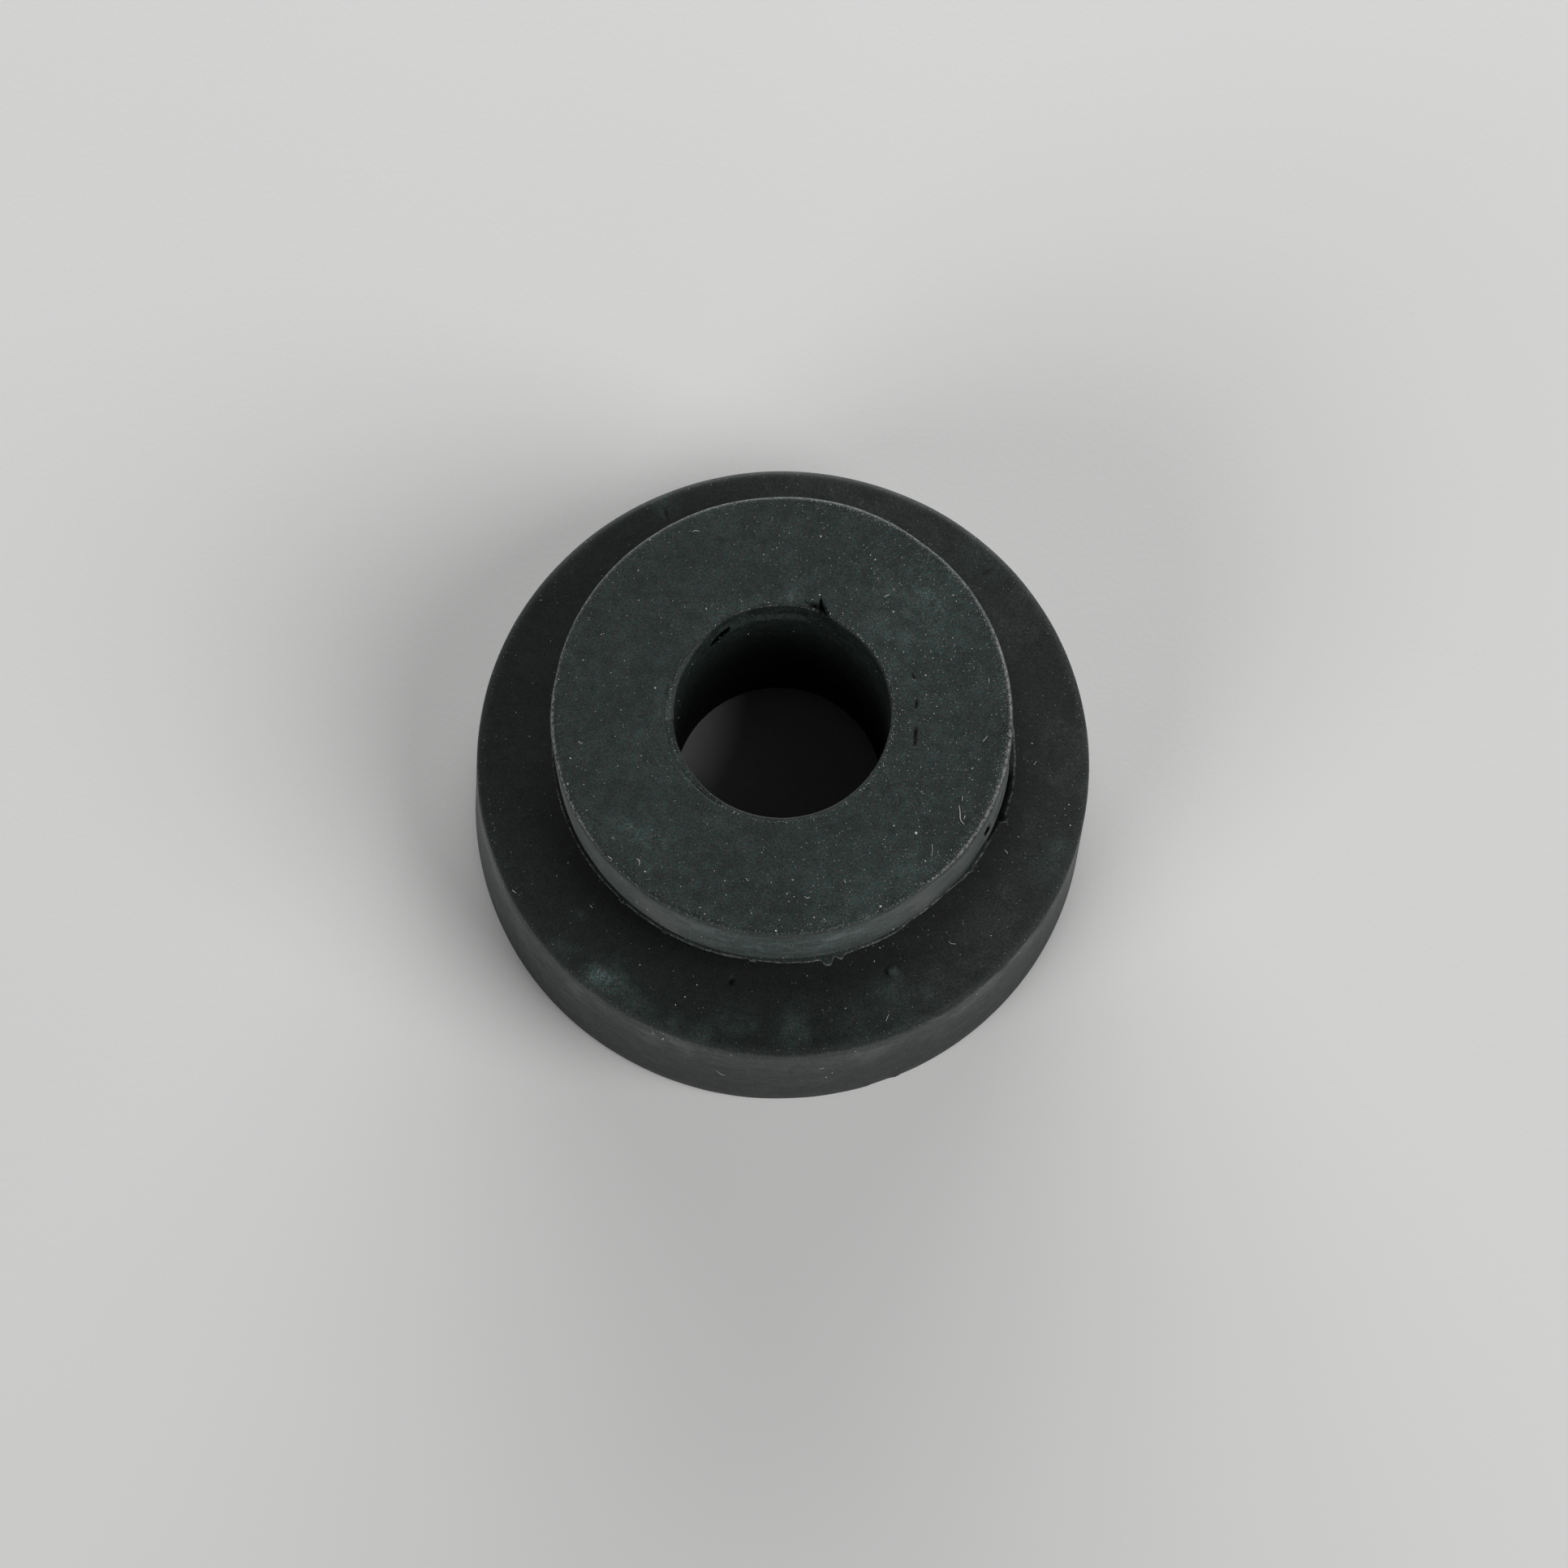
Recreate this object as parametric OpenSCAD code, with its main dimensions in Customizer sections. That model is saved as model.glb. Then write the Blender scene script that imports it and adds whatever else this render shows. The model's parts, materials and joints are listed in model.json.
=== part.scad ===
// Flanged rubber grommet, moulded in one piece.
//
// It stands on its thick flange. Above the flange a groove runs round a
// narrow neck and takes the edge of a panel, and the boss above the groove
// holds the grommet in the panel's hole. A straight bore runs down the
// axis and opens into a wider recess in the underside.
//
// Millimetres, +Z up. The origin is on the axis, in the plane of the base.

/* [Flange] */
// Diameter of the flange at its base
flange_d = 41; // [36:0.5:50]
// Thickness of the flange
flange_h = 11.2; // [8:0.1:20]
// Angle in degrees at which the flange narrows upwards, so it leaves the mould
flange_draft = 2.6; // [0:0.2:5]
// Radius on the flange's upper edge
flange_edge_r = 0.5; // [0.2:0.1:1]
// Radius on the flange's lower edge
foot_edge_r = 0.4; // [0.2:0.1:1]

/* [Boss] */
// Diameter of the boss
boss_d = 29.1; // [27:0.1:34]
// Thickness of the boss, from the groove to the top face
boss_h = 6.3; // [4:0.1:12]
// Radius on the boss's upper edge
boss_edge_r = 0.3; // [0.1:0.1:1]

/* [Moulding flash] */
// How far the flash stands out from the lower edge of the boss
flash_w = 0.3; // [0.1:0.05:0.6]
// Thickness of the flash
flash_t = 0.15; // [0.1:0.05:0.3]

/* [Panel groove] */
// Diameter of the neck at the bottom of the groove
neck_d = 22.5; // [19:0.1:24]
// Width of the groove, which is the thickest panel that it takes
groove_w = 3; // [2:0.1:6]
// Radius of the fillets at both ends of the neck
groove_fillet_r = 0.5; // [0.2:0.1:0.9]

/* [Bore] */
// Diameter of the bore
bore_d = 13.8; // [8:0.1:16]
// Radius on both lips of the bore
bore_lip_r = 0.15; // [0.1:0.05:0.8]

/* [Underside recess] */
// Diameter of the recess in the base
recess_d = 24; // [20:0.5:30]
// Depth of the recess
recess_h = 4.4; // [2.5:0.1:6]
// Radius of the fillet round the roof of the recess
recess_fillet_r = 0.8; // [0.2:0.1:1]
// Radius on the mouth of the recess
recess_edge_r = 0.4; // [0.2:0.1:1]

/* [Hidden] */
$fn = 180;

// Heights of the faces, from the base up
groove_z = flange_h;
boss_z = groove_z + groove_w;
top_z = boss_z + boss_h;

// Radii of the walls, from the axis out
bore_r = bore_d / 2;
neck_r = neck_d / 2;
recess_r = recess_d / 2;
boss_r = boss_d / 2;
foot_r = flange_d / 2;
shoulder_r = foot_r - flange_h * tan(flange_draft);

// Directions in the section, which lies in the first quadrant: x is the
// distance from the axis and y is the height
UP = [0, 1];
DOWN = [0, -1];
OUT = [1, 0];
IN = [-1, 0];
// Up along the drafted wall of the flange
DRAFT_UP = [-sin(flange_draft), cos(flange_draft)];

// Extra radius of an arc that ends on a wall, so that it never stops a hair
// short and leaves a step there
ARC_EXCESS = 0.0005;

// The sliver between a corner of the section and the arc that touches both
// of its sides. Taken off an outer corner it rounds the edge, and added to
// an inner corner it fills it. side_a and side_b are unit vectors that run
// from the corner along its two sides. The sliver starts a little beyond the
// corner, so that it overlaps what it is taken off or added to.
module corner_sliver(corner, side_a, side_b, r) {
    half_angle = acos(side_a * side_b) / 2;
    reach = r / tan(half_angle);
    middle = (side_a + side_b) / norm(side_a + side_b);
    start = corner - middle * r / 4;
    arc_centre = corner + middle * r / sin(half_angle);
    difference() {
        polygon([start, corner + side_a * reach, arc_centre, corner + side_b * reach]);
        translate(arc_centre) circle(r + ARC_EXCESS);
    }
}

// The flange's half section, with its draft and its two rounded edges
module flange_section() {
    difference() {
        polygon([[0, 0], [foot_r, 0], [shoulder_r, flange_h], [0, flange_h]]);
        corner_sliver([shoulder_r, flange_h], IN, -DRAFT_UP, flange_edge_r);
        corner_sliver([foot_r, 0], IN, DRAFT_UP, foot_edge_r);
    }
}

// The boss's half section, which runs down into the flange. The mould parts
// at the lower edge of the boss, so that edge has no radius, and a thin fin of
// flash is left round it.
module boss_section() {
    difference() {
        square([boss_r, top_z]);
        corner_sliver([boss_r, top_z], IN, DOWN, boss_edge_r);
    }
    translate([neck_r, boss_z]) square([boss_r + flash_w - neck_r, flash_t]);
}

// The half section of the groove that takes the panel, with a fillet at both
// ends of the neck
module groove_section() {
    difference() {
        translate([neck_r, groove_z]) square([foot_r - neck_r, groove_w]);
        corner_sliver([neck_r, groove_z], OUT, UP, groove_fillet_r);
        corner_sliver([neck_r, boss_z], OUT, DOWN, groove_fillet_r);
    }
}

// The half section of the space inside: the bore with its lips, and the recess
module cavity_section() {
    square([bore_r, top_z]);
    corner_sliver([bore_r, top_z], OUT, DOWN, bore_lip_r);
    corner_sliver([bore_r, recess_h], OUT, UP, bore_lip_r);
    difference() {
        square([recess_r, recess_h]);
        corner_sliver([recess_r, recess_h], IN, DOWN, recess_fillet_r);
    }
    corner_sliver([recess_r, 0], OUT, UP, recess_edge_r);
}

module grommet() {
    color([0.19, 0.21, 0.2])
        rotate_extrude()
            difference() {
                union() {
                    flange_section();
                    boss_section();
                }
                groove_section();
                cavity_section();
            }
}

grommet();
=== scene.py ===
"""Looks of a moulded rubber grommet: its ragged flash, torn bore mouth, bloom, lint and dust.

Lengths are in millimetres and angles in degrees unless a name says otherwise. Angles run
anticlockwise from +X, seen from above, so 270 is the front.
"""

import json
import math
import random
from collections import namedtuple

import bpy
from mathutils import Matrix, Quaternion, Vector, noise
from mathutils.bvhtree import BVHTree


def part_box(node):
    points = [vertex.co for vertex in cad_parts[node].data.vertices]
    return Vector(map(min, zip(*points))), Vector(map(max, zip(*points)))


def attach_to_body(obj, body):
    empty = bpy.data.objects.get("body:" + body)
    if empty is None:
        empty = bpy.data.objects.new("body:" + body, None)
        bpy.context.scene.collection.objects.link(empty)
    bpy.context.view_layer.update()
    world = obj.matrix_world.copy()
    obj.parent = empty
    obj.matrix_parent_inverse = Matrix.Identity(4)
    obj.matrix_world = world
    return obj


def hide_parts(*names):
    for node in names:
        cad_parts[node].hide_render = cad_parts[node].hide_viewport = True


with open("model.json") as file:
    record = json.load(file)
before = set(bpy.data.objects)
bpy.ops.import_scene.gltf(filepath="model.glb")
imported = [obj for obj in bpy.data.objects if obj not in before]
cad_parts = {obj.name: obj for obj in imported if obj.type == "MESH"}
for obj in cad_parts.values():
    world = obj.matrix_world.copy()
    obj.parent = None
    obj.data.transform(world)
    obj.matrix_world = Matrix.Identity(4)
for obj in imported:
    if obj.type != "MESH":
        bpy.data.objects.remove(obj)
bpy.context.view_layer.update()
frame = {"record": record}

bl_info = {
    "name": "Rubber Grommet",
    "version": (1, 0, 0),
    "blender": (4, 5, 0),
    "location": "3D View > Sidebar > Grommet",
    "description": "Builds the visible rubber, lint and dust of a moulded grommet round its CAD part",
    "category": "Object",
}

MM = 0.001
NODE = "grommet"
BODY = "root"
BODY_PIECE = "grommet_body"
FIBRE_SIDES = 6
FLOOR_SIZE = 3.0  # metres
SENSOR_WIDTH = 36

mounts = {mount["name"]: mount for mount in frame["record"]["mounts"]}
groove = mounts["panel_groove"]
half_groove = groove["dims"]["length_mm"] * MM / 2
node_low, node_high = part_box(NODE)


# ---------------------------------------------------------------- settings

def number(name, default, description, **kind):
    """A number that the user can change."""
    return bpy.props.FloatProperty(name=name, default=default, description=description, **kind)


def length(name, default, description):
    """A length in metres, shown in the scene's unit."""
    return number(name, default, description, min=0, precision=5, unit="LENGTH", subtype="DISTANCE")


def degrees(name, value, description):
    """An angle, given in degrees."""
    return number(name, math.radians(value), description, unit="ROTATION", subtype="ANGLE")


def share(name, default, description):
    """An amount from none to full."""
    return number(name, default, description, min=0, max=1, subtype="FACTOR")


def colour(name, default, description):
    """A linear colour."""
    return bpy.props.FloatVectorProperty(
        name=name, default=default, description=description, min=0, max=1, subtype="COLOR",
    )


class GrommetSizes(bpy.types.PropertyGroup):
    """Sizes of the moulded section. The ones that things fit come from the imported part."""

    flange_d: length("Flange diameter", node_high.x - node_low.x, "Across the foot of the flange")
    flange_h: length("Flange height", groove["pos_m"][2] - half_groove, "Floor to the panel groove")
    boss_z: length("Boss foot", groove["pos_m"][2] + half_groove, "Floor to the boss")
    top_z: length("Overall height", node_high.z, "Floor to the top of the boss")
    neck_d: length("Neck diameter", 2 * groove["dims"]["r_mm"] * MM, "Across the panel groove")
    bore_d: length("Bore diameter", 2 * mounts["bore"]["dims"]["r_mm"] * MM, "Across the bore")
    boss_d: length("Boss diameter", 29.1 * MM, "Across the boss")
    recess_d: length("Recess diameter", 24 * MM, "Across the recess in the foot")
    recess_h: length("Recess depth", 4.4 * MM, "Floor to the roof of the recess")
    flange_draft: degrees("Flange draft", 2.6, "Lean of the flange's wall")
    flange_edge_r: length("Flange edge radius", 0.5 * MM, "Rounding of the flange's top edge")
    foot_edge_r: length("Foot edge radius", 0.4 * MM, "Rounding round the foot and the recess mouth")
    boss_edge_r: length("Boss edge radius", 0.3 * MM, "Rounding of the boss's top edge")
    bore_lip_r: length("Bore lip radius", 0.15 * MM, "Rounding of the bore's mouth")
    groove_fillet_r: length("Groove fillet radius", 0.5 * MM, "Rounding inside the panel groove")
    recess_fillet_r: length("Recess fillet radius", 0.8 * MM, "Rounding inside the recess")
    flash_t: length("Flash thickness", 0.13 * MM, "Thickness of the flash where it leaves the boss")


class GrommetFinish(bpy.types.PropertyGroup):
    """Colours of the rubber and of what lies on it, and a darker colour that paints shade inside the
    bore.
    """

    rubber: colour("Rubber", (0.0080, 0.0090, 0.0086), "Clean black rubber")
    # Haze colours; the haze mask that lays them on also paints shade in places and a highlight on the
    # lump.
    bloom: colour("Bloom", (0.037, 0.075, 0.067), "Greenish haze that comes out of the rubber")
    grey_bloom: colour("Grey bloom", (0.057, 0.064, 0.060), "Haze where it is greyer")
    pale_bloom: colour("Pale bloom", (0.120, 0.155, 0.165), "The thickest of the haze")
    # Painted shade: the bore's wall gets a darker colour than the rubber outside, standing for the shade
    # deep in the bore.
    bore: colour("Bore", (0.0036, 0.0042, 0.0042), "Clean glossy black inside the bore")
    # Grey colour of fine dust, also laid on as painted light on the lit right side and up the walls.
    film: colour("Dust film", (0.100, 0.108, 0.104), "Grey film of the finest dust")
    # Pale colour of scuffs, also laid on as painted highlights along the boss's rim and the flash's edge.
    wear: colour("Wear", (0.20, 0.205, 0.20), "Scuffed and stretched edges")
    dust: colour("Dust", (0.62, 0.62, 0.60), "Dust specks")
    lint: colour("Lint", (0.52, 0.51, 0.48), "Lint fibres")
    dust_seed: bpy.props.IntProperty(
        name="Dust seed", default=7, min=0, description="Another number scatters the dust differently",
    )
    bloom_cover: share("Bloom cover", 0.5, "How much of the rubber the cloudy haze covers")
    roughness: share("Roughness", 0.65, "Roughness of the moulded skin")
    gloss: share("Gloss", 0.19, "Strength of the reflection off the moulded skin")
    sheen: share("Sheen", 0.06, "Pale edge-on glow of the fine dust film")


class GrommetStage(bpy.types.PropertyGroup):
    """Floor, lights and camera."""

    floor: colour("Floor", (0.70, 0.70, 0.695), "Matt pale paper")
    camera_distance: length("Camera distance", 280 * MM, "Camera to the point it looks at")
    camera_elevation: degrees("Camera elevation", 73.39, "Angle above the floor")
    camera_roll: degrees("Camera roll", 1.15, "Turn about the line of sight")
    camera_target: bpy.props.FloatVectorProperty(
        name="Camera target", default=(0.27 * MM, -1.89 * MM, 11.2 * MM), size=3, precision=5,
        description="Point the camera looks at", unit="LENGTH", subtype="XYZ",
    )
    lens: number("Lens", 98.8, "Focal length in millimetres on a 36 mm sensor", unit="CAMERA")
    key_power: number("Key light", 6.35, "Power of the soft box at the front right, in watts", min=0)
    side_power: number("Side light", 4.0, "Power of the soft box at the front left, in watts", min=0)
    back_power: number("Back light", 6.1, "Power of the low strip light behind, in watts", min=0)
    room: number("Room light", 0.04, "Brightness of the room all round", min=0)


# ---------------------------------------------------------------- curves and noise

def rise(low, high, value):
    """Smooth rise from 0 at low to 1 at high."""
    t = min(1.0, max(0.0, (value - low) / (high - low)))
    return t * t * (3 - 2 * t)


def between(low, high, soft, value):
    """1 from low to high, with soft edges outside them."""
    return rise(low - soft, low, value) * (1 - rise(high, high + soft, value))


def follow(knots, angle):
    """Value at an angle on straight lines between (angle, value) knots, which run from 0 to 360."""
    angle %= 360
    for (a, value_a), (b, value_b) in zip(knots, knots[1:]):
        if a <= angle <= b:
            return value_a + (value_b - value_a) * (angle - a) / (b - a)
    raise ValueError(f"no knots round {angle}")


def ripple(angle, level, grain, seed=0):
    """Noise from -1 to 1 that closes on itself round the axis. Grain is its size at a radius of 10."""
    turn = math.radians(angle)
    reach = 10 / grain
    return noise.noise(Vector((math.cos(turn) * reach + seed, math.sin(turn) * reach, level / grain)))


def flat(angle, r):
    """Cartesian point on a flat face."""
    turn = math.radians(angle)
    return Vector((r * math.cos(turn), r * math.sin(turn)))


def to_segment(point, start, end):
    """Distance from a point to a straight segment."""
    run = end - start
    t = min(1.0, max(0.0, (point - start).dot(run) / max(run.length_squared, 1e-9)))
    return (point - start - run * t).length


def depth_inside(outline, point):
    """Distance from a point to a closed outline, or 0 outside it."""
    inside = False
    nearest = math.inf
    for a, b in zip(outline, outline[1:] + outline[:1]):
        nearest = min(nearest, to_segment(point, a, b))
        if (a.y > point.y) != (b.y > point.y):
            crossing = a.x + (b.x - a.x) * (point.y - a.y) / (b.y - a.y)
            inside ^= point.x < crossing
    return nearest if inside else 0.0


# ---------------------------------------------------------------- what the moulding left

# How far each ring of the moulding sits off the bore's axis, along X and Y
AT_FOOT = Vector((-0.08, 0.04))
AT_FLANGE = Vector((0.18, -0.02))
AT_BOSS = Vector((0.02, 0.05))
AT_BORE_FOOT = Vector((-0.12, -0.07))

# Angles of the mesh: start, end, step
ANGLE_BANDS = [
    (0, 20, 0.6), (20, 60, 0.9), (60, 136, 0.4), (136, 188, 0.65), (188, 224, 0.9),
    (224, 242, 0.45), (242, 256, 0.7), (256, 292, 0.42), (292, 322, 0.65), (322, 348, 0.38),
    (348, 360, 0.6),
]

# How much further out than its true radius the boss's top edge is
RIM_EDGE = [
    (0, 0.07), (35, 0.07), (46, 0.06), (53, 0.01), (60, 0.07), (75, 0.07), (95, 0), (165, -0.02),
    (172, -0.04), (182, 0.06), (225, 0.05), (245, 0), (275, -0.02), (290, -0.07), (310, -0.06),
    (322, 0.08), (334, 0.14), (346, 0.13), (360, 0.07),
]

# Radius of the flash's edge round the boss
FLASH_EDGE = [
    (0, 15.1), (10, 15.0), (15, 14.75), (120, 14.8), (205, 14.78), (216, 14.74), (235, 14.68),
    (255, 14.7), (262, 14.64), (279, 14.8), (292, 14.66), (300, 14.7), (306, 14.52), (318, 14.6),
    (323, 14.84), (332, 14.95), (337, 15.0), (342, 15.25), (349, 15.28), (360, 15.1),
]

# Ragged nibs that stand out from it: angle, reach, half width in degrees
FLASH_NIBS = [
    (227.4, 0.12, 1.2), (240.7, 0.12, 0.9), (264, 0.1, 1), (282.6, 0.45, 1.8), (286, 0.24, 1.2),
    (326, 0.14, 0.9), (341.2, 0.32, 1.3),
]

# How much further out than the bore its mouth's edge is
MOUTH_EDGE = [
    (0, 0.05), (30, 0.03), (48, 0.02), (60, 0.02), (66, 0.16), (84, 0.24), (100, 0.22),
    (112, 0.26), (122, 0.2), (130, 0.09), (138, -0.02), (150, -0.1), (180, -0.08), (186, -0.04),
    (215, -0.04), (240, 0), (270, 0), (320, -0.02), (345, 0), (360, 0.05),
]

# Outer edge of the sloping ledge beside the tear
LEDGE_START, LEDGE_END = 136, 184
LEDGE_EDGE = [(0, 7.0), (136, 7.0), (141, 7.2), (160, 7.32), (175, 7.42), (184, 7.46), (360, 7.46)]

# Fine lines that the core pin left round the mouth: angles, radii and depth
Line = namedtuple("Line", "start end r_start r_end depth")
RING_LINES = [
    Line(184, 212, 7.45, 7.44, 0.03), Line(211, 240, 7.32, 7.18, 0.1),
    Line(214, 236, 7.12, 7.08, 0.03), Line(262, 338, 7.06, 7.04, 0.02),
]

# Outline of the notch torn out of the bore's mouth, as X and Y
NOTCH = [
    Vector(point) for point in [
        (1.1, 7.6), (1.5, 7.28), (1.85, 7.4), (2.2, 7.3), (2.36, 7.86), (2.56, 7.25), (2.85, 6.7),
        (2.9, 6.1), (2.3, 6.2), (2.15, 6.72), (1.85, 6.86), (1.5, 7.0),
    ]
]

# Gouges, and lumps where the depth is below 0: angle and level of both ends, half width and depth.
# A level is a radius on a flat face and a height on a wall
MARKS = {
    "boss_top": [
        (346.6, 8.66, 353.6, 8.54, 0.15, 0.14), (3.2, 8.5, 6.0, 8.56, 0.13, 0.12),
        (16.2, 8.7, 18.0, 8.68, 0.11, 0.08),
    ],
    "boss_side": [(300, 17.3, 306, 17.6, 0.25, 0.02)],
    "flange_top": [
        (297.0, 15.95, 297.5, 16.05, 0.3, -0.42), (295.8, 15.75, 296.0, 16.0, 0.25, 0.14),
        (44.8, 18.75, 44.4, 18.15, 0.13, 0.06), (104.0, 18.25, 105.0, 18.3, 0.22, 0.03),
        (258.7, 15.3, 258.6, 15.5, 0.15, 0.3), (115.8, 18.65, 116.3, 17.95, 0.12, 0.08),
    ],
    "foot_edge": [
        (293.2, 0.3, 293.6, 0.3, 0.3, -0.06), (289.0, 0.4, 292.0, 0.4, 0.5, 0.04),
    ],
}
FLAT_BANDS = {"boss_top", "flange_top"}

# The crack behind the skin of a wall: angle and height of both ends, half width, how far in and down
CRACKS = {
    "bore": (119.5, 18.8, 131.5, 18.2, 0.36, 0.4, 1.0),
    "boss_side": (333.7, 16.5, 335.9, 16.0, 0.45, 0.3, 0.9),
}

TEAR_START, TEAR_END = 60, 134
LEDGE_Z = 18.5


def on_wall(angle, z, r):
    """Place on a wall of that radius, rolled out flat."""
    return Vector((math.radians(angle) * r, z))


def mark_depth(band, angle, r, z):
    """How deep the gouges of one band go at a place on it."""
    total = 0.0
    for angle_a, level_a, angle_b, level_b, half_width, depth in MARKS.get(band, ()):
        if abs(angle - (angle_a + angle_b) / 2) > 12:
            continue
        ends = (angle_a, level_a), (angle_b, level_b)
        if band in FLAT_BANDS:
            away = to_segment(flat(angle, r), *(flat(*end) for end in ends))
        else:
            away = to_segment(on_wall(angle, z, r), *(on_wall(*end, r) for end in ends))
        near = away / half_width
        if near < 1:
            total += depth * (1 - near * near) ** 2
    return total


def in_crack(band, angle, z, wall_r):
    """How far inside a wall's crack a place is, from 0 to 1, and the inward and downward pull."""
    angle_a, z_a, angle_b, z_b, half_width, inward, down = CRACKS[band]
    if not angle_a - 5 < angle < angle_b + 5:
        return 0.0, 0.0, 0.0
    place = on_wall(angle, z, wall_r)
    start, end = on_wall(angle_a, z_a, wall_r), on_wall(angle_b, z_b, wall_r)
    along = min(1.0, max(0.0, (place - start).dot(end - start) / (end - start).length_squared))
    near = to_segment(place, start, end) / (half_width * (0.25 + 0.75 * math.sin(math.pi * along)))
    deep = (1 - near * near) ** 2 if near < 1 else 0.0
    return deep, inward * math.sqrt(deep), down * deep


def tear(angle):
    """1 where the bore's mouth is torn, 0 where it is whole."""
    return between(TEAR_START + 3, TEAR_END - 4, 3, angle)


def flash_edge(angle):
    """Radius of the flash's ragged edge."""
    nibs = sum(
        reach * (1 - rise(0.3, 1, abs(angle - middle) / half_width))
        for middle, reach, half_width in FLASH_NIBS
    )
    return follow(FLASH_EDGE, angle) + nibs


def mouth_edge(angle):
    """How much further out than the bore the ragged edge of its mouth is."""
    rough = 0.012 + 0.07 * tear(angle)
    return follow(MOUTH_EDGE, angle) + rough * (
        ripple(angle, 0, 0.9, seed=3) + 0.7 * ripple(angle, 0, 0.35, seed=5)
    )


def on_ledge(angle, r):
    """1 on the sloping ledge beside the tear, 0 off it."""
    if not LEDGE_START < angle < LEDGE_END + 1:
        return 0.0
    ends = rise(LEDGE_START, LEDGE_START + 4, angle) * (1 - rise(LEDGE_END, LEDGE_END + 0.7, angle))
    edge = follow(LEDGE_EDGE, angle)
    return ends * (1 - rise(edge - 0.05, edge + 0.05, r))


def ledge_outline(angle, r):
    """1 along the ledge's outer edge, 0 away from it."""
    if not LEDGE_START < angle < LEDGE_END + 1:
        return 0.0
    return rise(LEDGE_START, LEDGE_START + 3, angle) * math.exp(
        -((r - follow(LEDGE_EDGE, angle)) / 0.06) ** 2)


def in_notch(angle, r):
    """1 inside the notch in the bore's mouth, 0 outside it."""
    if not 64 < angle < 84 or r > 8.3:
        return 0.0
    return rise(0, 0.12, depth_inside(NOTCH, flat(angle, max(r, 6.6))))


def mouth_drop(angle, r):
    """How far the top face near the bore falls below the rest of it."""
    ledge = on_ledge(angle, r)
    drop = 0.0
    if ledge:
        edge = follow(LEDGE_EDGE, angle)
        drop += ledge * (0.05 + 0.3 * max(0.0, edge - r)) + 0.1 * ledge_outline(angle, r)
    for line in RING_LINES:
        if line.start < angle < line.end:
            t = (angle - line.start) / (line.end - line.start)
            middle = line.r_start + (line.r_end - line.r_start) * t
            ends = between(line.start + 2, line.end - 2, 2, angle)
            drop += ends * line.depth * math.exp(-((r - middle) / 0.06) ** 2)
    floor = 0.6 + 0.35 * ripple(angle, r, 0.5, seed=9)
    return drop + floor * in_notch(angle, r)


def shape_boss_top(angle, r, z, sizes):
    """Top of the boss: nearly flat, torn and stepped round the bore's mouth."""
    place = flat(angle, r)
    wave = 0.02 * noise.noise(Vector((place.x / 4, place.y / 4, 1)))
    sink = mouth_drop(angle, r) + mark_depth("boss_top", angle, r, z)
    pull = mouth_edge(angle) * (1 - rise(sizes.lip_r, sizes.lip_r + 0.8, r))
    pull += follow(RIM_EDGE, angle) * rise(sizes.boss_r - 2.5, sizes.boss_r - 0.5, r)
    return pull, wave * rise(sizes.lip_r, sizes.lip_r + 2, r) - sink


def shape_lip(angle, r, z, sizes):
    """Rounding between the top of the boss and the bore."""
    return mouth_edge(angle), -mouth_drop(angle, r)


def shape_bore(angle, r, z, sizes):
    """Wall of the bore, with a strip of skin torn off it below the mouth."""
    below_lip = sizes.top_z - sizes.lip_r + sizes.bore_r
    foot = sizes.torn_z
    if z < foot:
        return 0.0, 0.0
    up = (z - foot) / (below_lip - foot)
    torn = tear(angle)
    ledge_z = LEDGE_Z + 0.22 * ripple(angle, 0, 1.6, seed=7) + 0.1 * ripple(angle, 0, 0.5, seed=8)
    edge = mouth_edge(angle)
    step = 0.14 + 1.1 * (1 - between(80, 103, 5, angle))
    above = rise(ledge_z, ledge_z + step, z)
    whole = edge * up * up
    rough = 0.05 * torn * above * ripple(angle, z, 0.5, seed=11)
    scab = 0.05 * between(138, 166, 4, angle) * max(0.0, ripple(angle, z, 0.6, seed=12))
    pull = whole + torn * (above * (abs(edge) + 0.06) - whole) + rough - scab
    drop = mouth_drop(angle, sizes.bore_r)
    _, inward, down = in_crack("bore", angle, z, sizes.bore_r)
    return pull + inward, -drop * up - down


def shape_boss_rim(angle, r, z, sizes):
    """Top edge of the boss, a little worn."""
    worn = 0.012 * ripple(angle, z, 0.5, seed=21) + 0.02 * ripple(angle, 0, 4, seed=22)
    return worn + follow(RIM_EDGE, angle), 0.6 * worn


def shape_boss_side(angle, r, z, sizes):
    """Wall of the boss."""
    wave = 0.02 * ripple(angle, 0, 4, seed=22) + 0.012 * ripple(angle, z, 1.5, seed=23)
    lean = follow(RIM_EDGE, angle) * rise(sizes.flange_h + 3, sizes.top_z, z)
    flare = 0.14 * between(324, 354, 8, angle) + 0.1 * between(336, 352, 5, angle)
    _, inward, down = in_crack("boss_side", angle, z, sizes.boss_r)
    pull = wave + lean + flare * rise(17, 14.8, z) - mark_depth("boss_side", angle, r, z)
    return pull - inward, -down


def shape_flash(angle, r, z, sizes):
    """Thin fin of rubber at the boss's foot, pulled out to the ragged edge that the mould left."""
    out = (r - sizes.flash_root_r) / (sizes.flash_tip_r - sizes.flash_root_r)
    edge = flash_edge(angle)
    edge += 0.035 * ripple(angle, 0, 0.6, seed=31) + 0.02 * ripple(angle, 0, 0.25, seed=32)
    wide = edge - sizes.flash_tip_r
    curl = 0.10 * ripple(angle, 0, 2.5, seed=33) + 0.05 * ripple(angle, 0, 0.7, seed=34)
    loose = between(337, 351, 4, angle)
    gutter = 4 * loose * out * (1 - out) ** 2
    return out * wide, out * (curl * (0.5 + wide)) - gutter


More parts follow.
